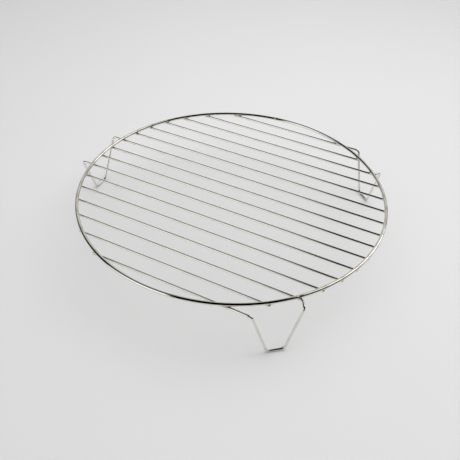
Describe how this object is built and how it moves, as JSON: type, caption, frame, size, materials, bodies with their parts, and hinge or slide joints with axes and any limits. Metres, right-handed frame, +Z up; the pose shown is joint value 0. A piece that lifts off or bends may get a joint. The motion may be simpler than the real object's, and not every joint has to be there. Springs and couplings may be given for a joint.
{
  "type": "cooling rack",
  "caption": "Round wire cooling rack: parallel bars welded under a ring, on short bent-wire legs, to let air under baked food.",
  "frame": {"origin": "on the ring's axis, in the plane that the three feet stand on", "axes": "+Z up along the ring's axis; +X along the bars, away from the single leg at their end; the rack is symmetric about Y = 0"},
  "size_m": [0.3352, 0.32, 0.0545],
  "materials": {
    "plated_wire": "bright nickel-chrome plate over drawn steel wire, slightly warm"
  },
  "bodies": {
    "root": {"rim_ring": "plated_wire", "left_leg_wire": "plated_wire", "right_leg_wire": "plated_wire", "end_leg_wire": "plated_wire", "plain_bar_02": "plated_wire", "plain_bar_04": "plated_wire", "plain_bar_05": "plated_wire", "plain_bar_06": "plated_wire", "plain_bar_08": "plated_wire", "plain_bar_09": "plated_wire", "plain_bar_11": "plated_wire", "plain_bar_12": "plated_wire", "plain_bar_13": "plated_wire", "plain_bar_15": "plated_wire"}
  },
  "joints": []
}
